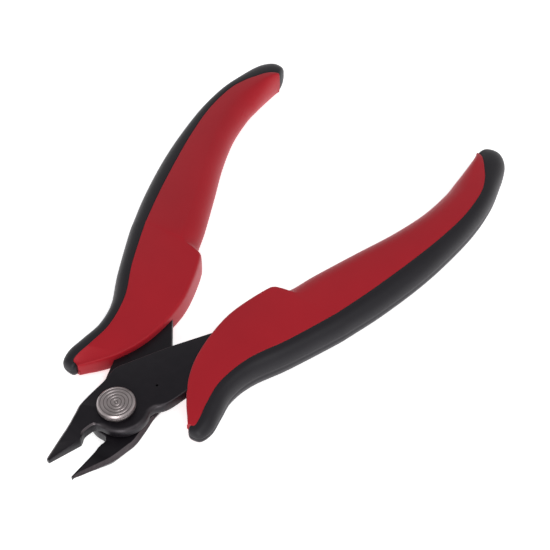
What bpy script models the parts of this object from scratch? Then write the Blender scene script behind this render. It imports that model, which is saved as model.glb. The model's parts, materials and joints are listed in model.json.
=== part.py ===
"""Flush cut pliers: two lapped steel halves on one rivet, a wire return spring, and two-part grips.

World frame: metres, +Z up, +X towards the jaw tips. The tool lies flat and open, as its spring
leaves it, with z = 0 under the grips and the origin below the middle of the whole outline.
Outlines are drawn in millimetres about the pivot. A blade's outline is drawn with the jaws shut,
and a grip's outline with them open by DRAWN_OPEN.
"""

import math

import bmesh
import bpy
from mathutils import Matrix, Vector

MM = 0.001

# Pivot and opening
HALF_OPENING = math.radians(8.5)  # each half turns this far from shut to the open stop
DRAWN_OPEN = math.radians(8.5)  # how far each grip is turned in its own drawing
LAP_GAP = 0.15  # between the two blades' lapped faces
SHANK_RADIUS = 2.5
PIVOT_CLEARANCE = 0.08  # running fit round the rivet's shank
HEAD_RADIUS = 4.1
HEAD_HEIGHT = 2.0
HEAD_BEVEL = 0.35
NECK_RADIUS = 3.5  # relief under the head
NECK_HEIGHT = 0.6
SEAT_GAP = 0.1  # under the rivet's head, and either side of its washer
WASHER_RADIUS = 3.9
WASHER_THICKNESS = 0.45
REAR_HEAD_RADIUS = 3.2
REAR_HEAD_HEIGHT = 0.45

# Blades
PLATE = 2.8  # thickness of each blade
BOSS_RADIUS = 6.0  # round shoulder of the lap
BOSS_CENTRE = (-0.7, 0.7)
TIP_REACH = 18.7  # pivot to the tips
UPPER_EDGE_START = 10.4  # pivot to the throat end of the cutting edge
LOWER_EDGE_START = 8.6
THROAT_DEPTH = 1.0  # how far the upper blade is relieved behind its cutting edge
LOWER_THROAT_DEPTH = 0.45
HEEL = -8.0  # the back of the jaw's outer side, behind the pivot
JAW_ROOT = 1.0  # where the ground bevel of the jaw starts
JAW_WIDTH = 6.9  # pivot line to the jaw's outer side
JAW_BEND = 9.6  # pivot to the line where the jaws turn up
JAW_ANGLE = math.radians(21)  # how far they turn up
TIP_THICKNESS = 1.2
TIP_WIDTH = 0.6
UPPER_JAW_BEVEL = 0.35  # ground off the top outer corner of each jaw
LOWER_JAW_BEVEL = 1.0
LOWER_UNDERCUT = 1.2  # how far the lower blade's outer side leans in towards its underside

# Grips
GRIP_HALF = 4.0  # half the thickness of the grips, and the height of the lap above the ground
GRIP_NOSE_HALF = 1.9
GRIP_END_HALF = 3.2
BOND_GAP = 0.3  # between the core and its cover
TANG_CLEARANCE = 0.3  # between a tang's edges and its pocket in the core
TANG_SKIN_GAP = 0.15  # the same above and below the tang
NECK_CUT = (12, 2)  # how far the pocket runs on past the tang's outer and palm edges at the neck
PEG_END = 0.5  # how far the peg through the tang stops inside the grip's faces
SIDE_ROUND = 3.2  # how far the palm side of the core rounds over
FLANK_ROUND = 1.3  # the same at its crisp front part
FLANK_RISE = 1.6  # how far that part stands past the lap, on the side the other blade sweeps
COVER_FULLNESS = 0.85  # below 1 the cover's section is fuller than an ellipse
RIB_HEIGHT = 0.4  # the rib that keys the cover, as a share of the grip's half thickness
RIB_DEPTH = 0.42  # and as a share of the cover's width
TANG_HOLE_RADIUS = 1.7
TANG_HOLE = (-52.0, 19.6)  # in the grip's drawing

# Return spring
WIRE = 0.9
SPRING_RADIUS = 4.5
SPRING_END = (-9.1, 3.7)  # where each end turns into its blade, with the tool open
END_CLEARANCE = 0.15

STEPS = 2  # lengths of each grip between two drawn sections
RIM_STEPS = 64

# Each section of a grip: the boundary between core and cover, and the cover's outer side
COVER = [
    ((-111.5, 29.4), (-113.0, 29.3)),
    ((-111.1, 30.4), (-115.2, 31.2)),
    ((-109.8, 31.6), (-115.0, 34.2)),
    ((-107.0, 33.2), (-111.4, 37.0)),
    ((-102.2, 35.4), (-104.5, 38.7)),
    ((-97.0, 36.7), (-97.5, 39.8)),
    ((-87.9, 36.7), (-88.0, 39.9)),
    ((-77.4, 35.0), (-76.5, 38.6)),
    ((-67.3, 32.6), (-66.0, 36.6)),
    ((-56.3, 29.6), (-54.5, 33.4)),
    ((-47.8, 26.9), (-45.8, 30.3)),
    ((-44.2, 25.6), (-42.0, 28.8)),
    ((-33.5, 21.0), (-30.5, 23.4)),
    ((-25.0, 16.6), (-22.5, 19.1)),
    ((-17.0, 14.7), (-16.5, 17.8)),
    ((-11.0, 15.2), (-11.5, 18.5)),
    ((-7.5, 15.9), (-7.3, 19.1)),
    ((-5.6, 16.0), (-4.4, 18.3)),
    ((-5.0, 15.5), (-3.7, 16.3)),
    ((-5.2, 14.7), (-4.3, 14.7)),
]
# The palm side and then the front edge of the core, one point for each section of the cover
CORE = [
    (-111.2, 29.2),
    (-110.3, 29.1),
    (-108.2, 29.1),
    (-104.0, 29.0),
    (-99.0, 28.8),
    (-94.0, 28.6),
    (-85.0, 27.1),
    (-75.0, 23.8),
    (-64.5, 19.3),
    (-54.0, 14.9),
    (-47.2, 12.3),
    (-44.6, 9.4),
    (-35.2, 6.3),
    (-28.0, 5.6),
    (-20.0, 6.3),
    (-14.0, 8.2),
    (-9.3, 10.4),
    (-6.2, 12.6),
    (-4.9, 13.6),
    (-4.6, 14.1),
]
CRISP_FROM = 11  # the section where the palm side turns from round to crisp
FLAT_SECTIONS = (3, 12)  # between these the grips have their full thickness
FALL_SECTIONS = (9.5, 14)  # over these the swept side falls to the flank's rise
RIB_SECTIONS = (4, 16)


def spline(points, steps):
    """A smooth line through the points, with this many lengths between each two."""
    points = [Vector(p) for p in points]
    ends = [2 * points[0] - points[1], *points, 2 * points[-1] - points[-2]]
    line = []
    for a, b, c, d in zip(ends, ends[1:], ends[2:], ends[3:]):
        for i in range(steps):
            t = i / steps
            line.append(
                0.5 * (2 * b + (c - a) * t + (2 * a - 5 * b + 4 * c - d) * t**2 + (3 * b - 3 * c + d - a) * t**3)
            )
    return [*line, points[-1]]


def arc(centre, radius, start, end, steps):
    return [
        Vector(centre) + radius * Vector((math.cos(a), math.sin(a)))
        for a in (start + (end - start) * i / steps for i in range(steps + 1))
    ]


def turned(point, angle):
    return Matrix.Rotation(angle, 2) @ Vector(point)


def eased(t):
    """From 0 to 1 with a level start and end."""
    t = min(1, max(0, t))
    return t * t * (3 - 2 * t)


def from_grip(points):
    """From a grip's drawing to a blade's."""
    return [turned(p, DRAWN_OPEN) for p in points]


# ---- Materials ----


def material(name, colour, metallic, roughness):
    made = bpy.data.materials.new(name)
    made.use_nodes = True
    shader = made.node_tree.nodes["Principled BSDF"]
    shader.inputs["Base Color"].default_value = (*colour, 1)
    shader.inputs["Metallic"].default_value = metallic
    shader.inputs["Roughness"].default_value = roughness
    return made


for leftover in list(bpy.data.objects):
    bpy.data.objects.remove(leftover)

BLACK_STEEL = material("black_oxide_steel", (0.018, 0.016, 0.019), 0.8, 0.45)
BRIGHT_STEEL = material("turned_steel", (0.45, 0.42, 0.42), 1.0, 0.35)
SPRING_STEEL = material("spring_steel", (0.3, 0.3, 0.31), 1.0, 0.3)
RED_PLASTIC = material("red_plastic", (0.33, 0.012, 0.018), 0.0, 0.45)
BLACK_RUBBER = material("black_rubber", (0.02, 0.019, 0.023), 0.0, 0.6)


# ---- Making solids ----


def finished(name, mesh, made_of, smooth_under=30):
    """An object from a bmesh drawn in millimetres, scaled to metres, with smooth round sides."""
    bmesh.ops.scale(mesh, vec=(MM, MM, MM), verts=mesh.verts)
    bmesh.ops.recalc_face_normals(mesh, faces=mesh.faces)
    data = bpy.data.meshes.new(name)
    mesh.to_mesh(data)
    mesh.free()
    data.shade_smooth()
    data.set_sharp_from_angle(angle=math.radians(smooth_under))
    data.materials.append(made_of)
    part = bpy.data.objects.new(name, data)
    bpy.context.scene.collection.objects.link(part)
    return part


def loft(rings):
    """A closed bmesh through rings of points, each ring closed and the two ends capped."""
    mesh = bmesh.new()
    loops = [[mesh.verts.new(p) for p in ring] for ring in rings]
    for low, high in zip(loops, loops[1:]):
        for i in range(len(low)):
            j = (i + 1) % len(low)
            mesh.faces.new((low[i], low[j], high[j], high[i]))
    mesh.faces.new(loops[0][::-1])
    mesh.faces.new(loops[-1])
    return mesh


def disc(radius, low, high, at=(0, 0)):
    """An upright cylinder from low to high."""
    rim = arc(at, radius, 0, 2 * math.pi, RIM_STEPS)[:-1]
    return loft([[(p.x, p.y, z) for p in rim] for z in (low, high)])


def cutter(name, mesh, parent):
    tool = finished(name, mesh, BLACK_STEEL)
    tool.parent = parent
    tool.hide_render = True
    tool.display_type = "WIRE"
    return tool


def cut(part, tool, operation="DIFFERENCE"):
    boolean = part.modifiers.new(tool.name, "BOOLEAN")
    boolean.operation = operation
    boolean.object = tool


# ---- Blades ----


def tang():
    """The tang's outer and palm edges, from the neck to its end, in the blade's drawing."""
    outer = from_grip([(-12.5, 10.1), (-20.0, 11.9), (-30.0, 15.0), (-42.0, 19.4), (-58.0, 25.4)])
    palm = from_grip([(-19.4, 0.0), (-28.9, 6.6), (-34.0, 9.9), (-42.0, 12.6), (-58.0, 18.8)])
    return outer, palm


def blade_outline(edge_start, throat_depth):
    """The upper blade with the jaws shut: its jaw lies at -Y and its tang at +Y."""
    boss = arc(BOSS_CENTRE, BOSS_RADIUS, math.radians(5), math.radians(122), 14)
    throat = spline(
        [
            (edge_start, 0),
            (edge_start - 0.8, -0.45 * throat_depth),
            (edge_start - 2, -throat_depth),
            (boss[0].x + 0.9, -0.75 * throat_depth),
            (boss[0].x + 0.3, 0.1),
            boss[0],
        ],
        2,
    )[:-1]
    outer, palm = tang()
    heel = [(-7.0, -8.0), (-2.9, -JAW_WIDTH - 0.2), (0.6, -JAW_WIDTH)]
    flank = spline(
        [
            (4.2, 0.3 - JAW_WIDTH),
            (6.4, 1.1 - JAW_WIDTH),
            (12.5, 3.6 - JAW_WIDTH),
            (TIP_REACH - 0.4, -TIP_WIDTH - 0.2),
        ],
        3,
    )
    nose = [(TIP_REACH, -TIP_WIDTH), (TIP_REACH, 0)]
    shoulder = [(-5.2, 6.0), (-6.5, 6.85), (-8.4, 7.4)]
    points = [*throat, *boss, *shoulder, *outer, *palm[::-1], *heel, *flank, *nose]
    return [Vector(p) for p in points]


def blade(name, side, outline, bevel, undercut, frame):
    """side is 1 for the upper blade and -1 for the lower one, which is drawn over the X axis."""

    def ring(z, inset, jaw_from):
        """The outline, with its outer side moved in by the inset from jaw_from to the tip."""
        count = len(outline)
        points = []
        for i, p in enumerate(outline):
            along = (outline[(i + 1) % count] - outline[i - 1]).normalized()
            is_side = p.x > jaw_from and p.y < -THROAT_DEPTH - 0.15
            q = p + Vector((-along.y, along.x)) * (inset if is_side else 0)
            points.append((q.x, q.y * side, z))
        return points

    low = LAP_GAP / 2 if side > 0 else -LAP_GAP / 2 - PLATE
    high = low + PLATE
    mesh = loft([ring(low, undercut, HEEL), ring(high - bevel, 0, 0), ring(high, bevel, JAW_ROOT)])
    bmesh.ops.bisect_plane(
        mesh,
        geom=[*mesh.verts, *mesh.edges, *mesh.faces],
        plane_co=(JAW_BEND, 0, 0),
        plane_no=(1, 0, 0),
    )
    lap = side * LAP_GAP / 2
    for vert in mesh.verts:
        past = vert.co.x - JAW_BEND
        if past > 0:
            thin = (TIP_THICKNESS / PLATE - 1) * past / (TIP_REACH - JAW_BEND) + 1
            vert.co.z = lap + (vert.co.z - lap) * thin + past * math.tan(JAW_ANGLE)
    part = finished(name, mesh, BLACK_STEEL, smooth_under=24)
    part.parent = frame
    return part


# ---- Grips ----


def grip_sections():
    """For each station: palm-side, boundary and outer points, rounding, flank height, half thickness, rib."""
    edge = spline([b for b, _ in COVER], STEPS)
    side = spline([o for _, o in COVER], STEPS)
    palm = spline(CORE, STEPS)
    last = len(COVER) - 1
    sections = []
    for i, (b, o, p) in enumerate(zip(edge, side, palm)):
        s = i / STEPS
        crisp = min(1, max(0, s - CRISP_FROM + 1))
        rounding = SIDE_ROUND + (FLANK_ROUND - SIDE_ROUND) * crisp
        rounding = min(rounding, 0.45 * (b - p).length)
        tail = eased(s / FLAT_SECTIONS[0])
        nose = eased((last - s) / (last - FLAT_SECTIONS[1]))
        half = min(
            GRIP_END_HALF + (GRIP_HALF - GRIP_END_HALF) * tail,
            GRIP_NOSE_HALF + (GRIP_HALF - GRIP_NOSE_HALF) * nose,
        )
        fall = eased((s - FALL_SECTIONS[0]) / (FALL_SECTIONS[1] - FALL_SECTIONS[0]))
        flank = half + (min(half, FLANK_RISE) - half) * fall
        ribbed = RIB_SECTIONS[0] < s < RIB_SECTIONS[1]
        rib = RIB_DEPTH * (o - b).length if ribbed else 0
        sections.append((p, b, o, rounding, flank, half, rib))
    return sections


def placed(origin, along, u, z, side):
    """A point u along a section, taken from the grip's drawing to the blade's."""
    q = turned(origin + along * u, DRAWN_OPEN)
    return (q.x, q.y * side, z)


def grip_core(name, side, frame):
    rings = []
    for palm, edge, outer, rounding, flank, half, rib in grip_sections():
        across = (edge - palm).normalized()
        width = (edge - palm).length - BOND_GAP / 2
        out = (outer - edge).normalized()
        ring = []
        for i in range(9):
            a = math.radians(-90 + 180 * i / 8)
            u = rounding * (1 - math.cos(a))
            swept = a * side < 0
            ring.append(placed(palm, across, u, (flank if swept else half) * math.sin(a), side))
        wall = palm + across * width
        rib_half = RIB_HEIGHT * half
        ring.append(placed(wall, out, 0, half, side))
        ring.append(placed(wall, out, 0, rib_half, side))
        ring.append(placed(wall, out, rib, rib_half, side))
        ring.append(placed(wall, out, rib, -rib_half, side))
        ring.append(placed(wall, out, 0, -rib_half, side))
        ring.append(placed(wall, out, 0, -half, side))
        rings.append(ring)
    part = finished(name, loft(rings), RED_PLASTIC)
    part.parent = frame
    return part


def grip_cover(name, side, frame):
    rings = []
    for _, edge, outer, _, _, half, rib in grip_sections():
        out = (outer - edge).normalized()
        start = BOND_GAP / 2
        width = (outer - edge).length - start
        base = edge + out * start
        ring = []
        for i in range(13):
            a = math.radians(90 - 180 * i / 12)
            u = width * abs(math.cos(a)) ** COVER_FULLNESS
            z = half * math.copysign(abs(math.sin(a)) ** COVER_FULLNESS, a)
            ring.append(placed(base, out, u, z, side))
        rib_half = RIB_HEIGHT * half + BOND_GAP
        depth = rib + BOND_GAP if rib else 0
        ring.append(placed(base, out, 0, -rib_half, side))
        ring.append(placed(base, out, depth, -rib_half, side))
        ring.append(placed(base, out, depth, rib_half, side))
        ring.append(placed(base, out, 0, rib_half, side))
        rings.append(ring)
    part = finished(name, loft(rings), BLACK_RUBBER)
    part.parent = frame
    return part


# ---- The two halves ----

UPPER_OUTLINE = blade_outline(UPPER_EDGE_START, THROAT_DEPTH)
LOWER_OUTLINE = blade_outline(LOWER_EDGE_START, LOWER_THROAT_DEPTH)
front = max(turned(p, -HALF_OPENING).x for p in UPPER_OUTLINE)
rear = min(turned(o, DRAWN_OPEN - HALF_OPENING).x for _, o in COVER)
PIVOT = Vector((-(front + rear) / 2 * MM, 0, GRIP_HALF * MM))

pivot = bpy.data.objects.new("pivot", None)
bpy.context.scene.collection.objects.link(pivot)
pivot.location = PIVOT


def half_frame(name, side):
    frame = bpy.data.objects.new(name, None)
    bpy.context.scene.collection.objects.link(frame)
    frame.parent = pivot
    frame.rotation_euler.z = -side * HALF_OPENING
    return frame


THROUGH = PLATE + 1  # cutters run this far above and below the lap
SPRING_HOLE = turned(SPRING_END, HALF_OPENING)
HOLE_RADIUS = WIRE / 2 + END_CLEARANCE

for half_name, side, outline, bevel, undercut in (
    ("upper", 1, UPPER_OUTLINE, UPPER_JAW_BEVEL, 0),
    ("lower", -1, LOWER_OUTLINE, LOWER_JAW_BEVEL, LOWER_UNDERCUT),
):
    frame = half_frame(f"{half_name}_half", side)
    steel = blade(f"{half_name}_blade", side, outline, bevel, undercut, frame)
    bore = cutter(f"{half_name}_bore", disc(SHANK_RADIUS + PIVOT_CLEARANCE, -THROUGH, THROUGH), frame)
    cut(steel, bore)
    hole_at = from_grip([TANG_HOLE])[0]
    hole_at = (hole_at.x, hole_at.y * side)
    cut(steel, cutter(f"{half_name}_tang_hole", disc(TANG_HOLE_RADIUS, -THROUGH, THROUGH, hole_at), frame))
    spring_at = (SPRING_HOLE.x, SPRING_HOLE.y * side)
    cut(steel, cutter(f"{half_name}_spring_hole", disc(HOLE_RADIUS, -THROUGH, THROUGH, spring_at), frame))

    core = grip_core(f"{half_name}_grip_core", side, frame)
    outer, palm = tang()
    neck_outer = outer[0] + (outer[0] - outer[1]).normalized() * NECK_CUT[0]
    neck_palm = palm[0] + (palm[0] - palm[1]).normalized() * NECK_CUT[1]
    loop = [neck_palm, *palm, *outer[::-1], neck_outer]
    count = len(loop)
    grown = []
    for i, p in enumerate(loop):
        along = (loop[(i + 1) % count] - loop[i - 1]).normalized()
        grown.append(p + Vector((-along.y, along.x)) * TANG_CLEARANCE)
    levels = (LAP_GAP / 2 - TANG_SKIN_GAP, LAP_GAP / 2 + PLATE + TANG_SKIN_GAP)
    pocket = loft([[(p.x, p.y * side, z * side) for p in grown] for z in levels])
    cut(core, cutter(f"{half_name}_pocket", pocket, frame))
    peg = disc(TANG_HOLE_RADIUS - TANG_CLEARANCE, PEG_END - GRIP_HALF, GRIP_HALF - PEG_END, hole_at)
    cut(core, cutter(f"{half_name}_peg", peg, frame), "UNION")
    grip_cover(f"{half_name}_grip_cover", side, frame)

# The upper end of the spring reaches its blade through a curved slot in the lower one.
slot_radius = SPRING_HOLE.length
slot_start = math.atan2(SPRING_END[1], SPRING_END[0])
slot_line = arc((0, 0), slot_radius, slot_start + 2 * HALF_OPENING, slot_start, 10)
slot_rim = []
for centre, facing in ((slot_line[0], 1), (slot_line[-1], -1)):
    heading = math.atan2(centre.y, centre.x) + (0 if facing > 0 else math.pi)
    slot_rim += arc(centre, HOLE_RADIUS, heading, heading + math.pi, 8)
inner = [p * (1 - HOLE_RADIUS / slot_radius) for p in slot_line[1:-1]]
outer_rim = [p * (1 + HOLE_RADIUS / slot_radius) for p in slot_line[1:-1]]
slot_rim = [*slot_rim[:9], *inner, *slot_rim[9:], *outer_rim[::-1]]
slot = loft([[(p.x, p.y, z) for p in slot_rim] for z in (-THROUGH, THROUGH)])
cut(bpy.data.objects["lower_blade"], cutter("spring_slot", slot, pivot))


# ---- Rivet and washer ----


def turned_solid(name, profile, made_of):
    """A closed ring or a solid of revolution from (radius, height) points, outer side downwards."""
    mesh = bmesh.new()
    verts = [mesh.verts.new((r, 0, z)) for r, z in profile]
    closed = profile[0][0] > 0
    pairs = zip(verts, verts[1:] + verts[:1] if closed else verts[1:])
    edges = [mesh.edges.new(pair) for pair in pairs]
    bmesh.ops.spin(
        mesh,
        geom=[*verts, *edges],
        cent=(0, 0, 0),
        axis=(0, 0, 1),
        angle=2 * math.pi,
        steps=RIM_STEPS,
        use_merge=True,
    )
    bmesh.ops.remove_doubles(mesh, verts=mesh.verts, dist=0.001)
    part = finished(name, mesh, made_of)
    part.parent = pivot
    return part


top = LAP_GAP / 2 + PLATE + SEAT_GAP
washer_top = -LAP_GAP / 2 - PLATE - SEAT_GAP
washer_low = washer_top - WASHER_THICKNESS
rear_top = washer_low - SEAT_GAP
rear_low = rear_top - REAR_HEAD_HEIGHT
turned_solid(
    "pivot_rivet",
    [
        (0, top + HEAD_HEIGHT),
        (HEAD_RADIUS - HEAD_BEVEL, top + HEAD_HEIGHT),
        (HEAD_RADIUS, top + HEAD_HEIGHT - HEAD_BEVEL),
        (HEAD_RADIUS, top + NECK_HEIGHT),
        (NECK_RADIUS, top + NECK_HEIGHT),
        (NECK_RADIUS, top),
        (SHANK_RADIUS, top),
        (SHANK_RADIUS, rear_top),
        (REAR_HEAD_RADIUS, rear_top),
        (REAR_HEAD_RADIUS, rear_low + REAR_HEAD_HEIGHT / 2),
        (REAR_HEAD_RADIUS - REAR_HEAD_HEIGHT / 2, rear_low),
        (0, rear_low),
    ],
    BRIGHT_STEEL,
)
washer_bore = SHANK_RADIUS + PIVOT_CLEARANCE
turned_solid(
    "rivet_washer",
    [
        (washer_bore, washer_top),
        (WASHER_RADIUS, washer_top),
        (WASHER_RADIUS, washer_low),
        (washer_bore, washer_low),
    ],
    BRIGHT_STEEL,
)


# ---- Return spring ----


def spring_line():
    """Up out of the lower blade, forward round the rivet and back into the upper blade."""
    level = washer_top - WIRE / 2
    x, y = SPRING_END
    lower_end = (LAP_GAP / -2) - PLATE + 0.4
    upper_end = LAP_GAP / 2 + PLATE - 0.4
    loop = [Vector((x, -y, 0)), Vector((x + 4.5, -y - 0.9, 0))]
    loop += [p.to_3d() for p in arc((0, 0), SPRING_RADIUS, math.radians(-100), math.radians(100), 10)]
    loop += [Vector((x + 4.5, y + 0.9, 0)), Vector((x, y, 0))]
    flat = spline([(p.x, p.y) for p in loop], 3)
    line = [(x, -y, lower_end)]
    line += [(p.x, p.y, level) for p in flat]
    line += [(x, y, upper_end)]
    return line


wire_curve = bpy.data.curves.new("return_spring", "CURVE")
wire_curve.dimensions = "3D"
wire_curve.bevel_depth = WIRE / 2 * MM
wire_curve.bevel_resolution = 2
wire_curve.use_fill_caps = True
wire = wire_curve.splines.new("POLY")
route = spring_line()
wire.points.add(len(route) - 1)
for point, place in zip(wire.points, route):
    point.co = (*(Vector(place) * MM), 1)
wire_curve.materials.append(SPRING_STEEL)
spring = bpy.data.objects.new("return_spring", wire_curve)
bpy.context.scene.collection.objects.link(spring)
spring.parent = pivot
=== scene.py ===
import json
import math

import bmesh
import bpy
from mathutils import Matrix, Vector


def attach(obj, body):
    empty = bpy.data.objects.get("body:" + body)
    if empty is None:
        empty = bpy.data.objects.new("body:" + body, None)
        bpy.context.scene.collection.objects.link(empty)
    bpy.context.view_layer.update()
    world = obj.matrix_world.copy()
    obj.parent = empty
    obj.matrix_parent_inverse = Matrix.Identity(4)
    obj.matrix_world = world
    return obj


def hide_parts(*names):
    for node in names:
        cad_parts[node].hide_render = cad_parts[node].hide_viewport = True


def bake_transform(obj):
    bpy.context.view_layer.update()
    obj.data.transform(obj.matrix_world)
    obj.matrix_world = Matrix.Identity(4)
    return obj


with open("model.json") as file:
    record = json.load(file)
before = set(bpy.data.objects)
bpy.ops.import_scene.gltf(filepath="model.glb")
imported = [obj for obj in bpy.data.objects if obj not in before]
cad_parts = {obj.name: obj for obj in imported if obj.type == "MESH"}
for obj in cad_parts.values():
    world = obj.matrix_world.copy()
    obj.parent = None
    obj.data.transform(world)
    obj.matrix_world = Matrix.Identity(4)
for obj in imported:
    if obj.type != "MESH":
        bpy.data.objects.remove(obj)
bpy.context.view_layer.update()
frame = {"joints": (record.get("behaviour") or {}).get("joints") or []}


# ---- The two steel halves ----
# Each half is blanked from 2.8 mm tool steel plate, turned up 21 degrees at the jaw, ground along the
# jaw's outer corner and blackened in a hot oxide bath. The two lap face to face on the rivet.

MM = 0.001
HINGE = Vector(frame["joints"][0]["pos_m"])
HALF_OPENING = math.radians(8.5)
DRAWN_OPEN = math.radians(8.5)
LAP_GAP = 0.15
PLATE = 2.8
SHANK_RADIUS = 2.5
BORE_RADIUS = 2.58
BOSS_RADIUS = 6.0
BOSS_CENTRE = (-0.7, 0.7)
BOSS_FROM = math.radians(5)
BOSS_TO = math.radians(122)
BOSS_STEPS = 44
TIP_REACH = 18.7
HEEL = -8.0
JAW_ROOT = 1.0
UPPER_EDGE_START = 10.4
LOWER_EDGE_START = 8.6
THROAT_DEPTH = 1.0
LOWER_THROAT_DEPTH = 0.45
UPPER_JAW_BEVEL = 0.35
LOWER_JAW_BEVEL = 0.85
LOWER_UNDERCUT = 1.0  # how far the lower half's outer side leans in towards its underside
LOWER_GROUND_FROM = HEEL + 3
GROUND_RUN = 5  # how far the ground corner takes to reach its full width
JAW_WIDTH = 6.9
JAW_BEND = 9.6
BEND_LENGTH = 2.4
BEND_CUTS = 7
JAW_ANGLE = math.radians(21)
TIP_THICKNESS = 1.2
TIP_WIDTH = 0.6
EDGE_ROUND = 0.28
BOSS_ROUND = 0.95
EDGE_PALENESS = 0.35  # how much greyer the middle of each rounded edge is drawn
CUTTING_EDGE_ROUND = 0.06
CORNER_STEPS = 4
TANG_HOLE = (-52.0, 19.6)
TANG_HOLE_RADIUS = 1.7
WIRE = 0.9
SPRING_END = (-9.1, 3.7)
SPRING_HOLE_RADIUS = WIRE / 2 + 0.15
SPRING_PEEN_RADIUS = 0.3  # the upper half's hole is peened in at its top


def linear(colour):
    """The linear colour of an sRGB hex value."""
    parts = [int(colour[i : i + 2], 16) / 255 for i in (1, 3, 5)]
    return (*(c / 12.92 if c <= 0.04045 else ((c + 0.055) / 1.055) ** 2.4 for c in parts), 1)


def add(tree, kind, links, **settings):
    """A new node with its settings made and its inputs linked or set."""
    made = tree.nodes.new(kind)
    for name, value in settings.items():
        setattr(made, name, value)
    for name, value in links.items():
        if isinstance(value, bpy.types.NodeSocket):
            tree.links.new(value, made.inputs[name])
        else:
            made.inputs[name].default_value = value
    return made


def new_material(name, **sockets):
    """A material with constant values set on its shader, its node tree and the shader."""
    made = bpy.data.materials.new(name)
    made.use_nodes = True
    shader = made.node_tree.nodes["Principled BSDF"]
    for socket, value in sockets.items():
        shader.inputs[socket.replace("_", " ")].default_value = value
    return made, made.node_tree, shader


# Hot black oxide on tumbled steel: a near-black satin film, drawn greyer in a mottled band along the middle
# of each rounded edge.
black_oxide, tree, shader = new_material("black_oxide_steel", Metallic=0.55)
place = add(tree, "ShaderNodeTexCoord", {}).outputs["Object"]
BATH_MOTTLE_MM = 2.2
TUMBLE_GRAIN_MM = 0.35  # the real grain is near 0.05 mm, drawn coarser so that it shows
mottle = add(tree, "ShaderNodeTexNoise", {"Vector": place, "Scale": 1 / (BATH_MOTTLE_MM * MM), "Detail": 3})
grain = add(tree, "ShaderNodeTexNoise", {"Vector": place, "Scale": 1 / (TUMBLE_GRAIN_MM * MM), "Detail": 2})
film = add(
    tree,
    "ShaderNodeMix",
    {"Factor": mottle.outputs["Fac"], "A": linear("#17141A"), "B": linear("#221E24")},
    data_type="RGBA",
)
# the greyer band along the rounded edges, set for each vertex in blade_mesh and mottled here
edge_paling = add(tree, "ShaderNodeAttribute", {}, attribute_name="pale_edge_band")
paled_mask = add(tree, "ShaderNodeMath", {0: edge_paling.outputs["Fac"], 1: mottle.outputs["Fac"]}, operation="MULTIPLY")
paled_film = add(
    tree,
    "ShaderNodeMix",
    {"Factor": paled_mask.outputs[0], "A": film.outputs["Result"], "B": linear("#6B6467")},
    data_type="RGBA",
)
tree.links.new(paled_film.outputs["Result"], shader.inputs["Base Color"])
gloss = add(tree, "ShaderNodeMapRange", {"Value": grain.outputs["Fac"], "To Min": 0.34, "To Max": 0.5})
tree.links.new(gloss.outputs["Result"], shader.inputs["Roughness"])
bump = add(tree, "ShaderNodeBump", {"Height": grain.outputs["Fac"], "Strength": 0.12, "Distance": 0.05 * MM})
tree.links.new(bump.outputs["Normal"], shader.inputs["Normal"])

# The ground corner of the jaw: oxide over a belt-ground face, paler, with fine scratches along the jaw.
ground_oxide, tree, shader = new_material("black_oxide_ground_steel", Metallic=0.75, Roughness=0.38)
place = add(tree, "ShaderNodeTexCoord", {}).outputs["Object"]
SCRATCH_PITCH_MM = 0.18
SCRATCH_LENGTH_MM = 5
along = add(
    tree,
    "ShaderNodeMapping",
    {
        "Vector": place,
        "Scale": (1 / (SCRATCH_LENGTH_MM * MM), 1 / (SCRATCH_PITCH_MM * MM), 1 / (SCRATCH_PITCH_MM * MM)),
    },
)
scratches = add(tree, "ShaderNodeTexNoise", {"Vector": along.outputs["Vector"], "Scale": 1, "Detail": 2})
tone = add(
    tree,
    "ShaderNodeMix",
    {"Factor": scratches.outputs["Fac"], "A": linear("#443E41"), "B": linear("#665F62")},
    data_type="RGBA",
)
tree.links.new(tone.outputs["Result"], shader.inputs["Base Color"])
bump = add(
    tree, "ShaderNodeBump", {"Height": scratches.outputs["Fac"], "Strength": 0.15, "Distance": 0.04 * MM}
)
tree.links.new(bump.outputs["Normal"], shader.inputs["Normal"])


def spline(points, steps):
    """A smooth line through the points, with this many lengths between each two."""
    points = [Vector(p) for p in points]
    ends = [2 * points[0] - points[1], *points, 2 * points[-1] - points[-2]]
    line = []
    for a, b, c, d in zip(ends, ends[1:], ends[2:], ends[3:]):
        for i in range(steps):
            t = i / steps
            square = (2 * a - 5 * b + 4 * c - d) * t**2
            cube = (3 * b - 3 * c + d - a) * t**3
            line.append(0.5 * (2 * b + (c - a) * t + square + cube))
    return [*line, points[-1]]


def arc(centre, radius, start, end, steps):
    return [
        Vector(centre) + radius * Vector((math.cos(a), math.sin(a)))
        for a in (start + (end - start) * i / steps for i in range(steps + 1))
    ]


def turned(point, angle):
    return Matrix.Rotation(angle, 2) @ Vector(point)


def softened(points, reach):
    """The open line with each inner corner rounded over the given reach."""
    line = [points[0]]
    for before, corner, after in zip(points, points[1:], points[2:]):
        start = corner + (before - corner).normalized() * min(reach, 0.45 * (before - corner).length)
        end = corner + (after - corner).normalized() * min(reach, 0.45 * (after - corner).length)
        for i in range(6):
            t = i / 5
            line.append(start * (1 - t) ** 2 + corner * 2 * t * (1 - t) + end * t**2)
    return [*line, points[-1]]


def tang():
    """The tang's outer and palm edges, from the neck to its end, in the blade's drawing."""
    outer = [(-12.5, 10.1), (-20.0, 11.9), (-30.0, 15.0), (-42.0, 19.4), (-58.0, 25.4)]
    palm = [(-19.4, 0.0), (-28.9, 6.6), (-34.0, 9.9), (-42.0, 12.6), (-58.0, 18.8)]
    return [turned(p, DRAWN_OPEN) for p in outer], [turned(p, DRAWN_OPEN) for p in palm]


def eased(t):
    """From 0 to 1 with a level start and end."""
    t = min(1, max(0, t))
    return t * t * (3 - 2 * t)


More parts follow.
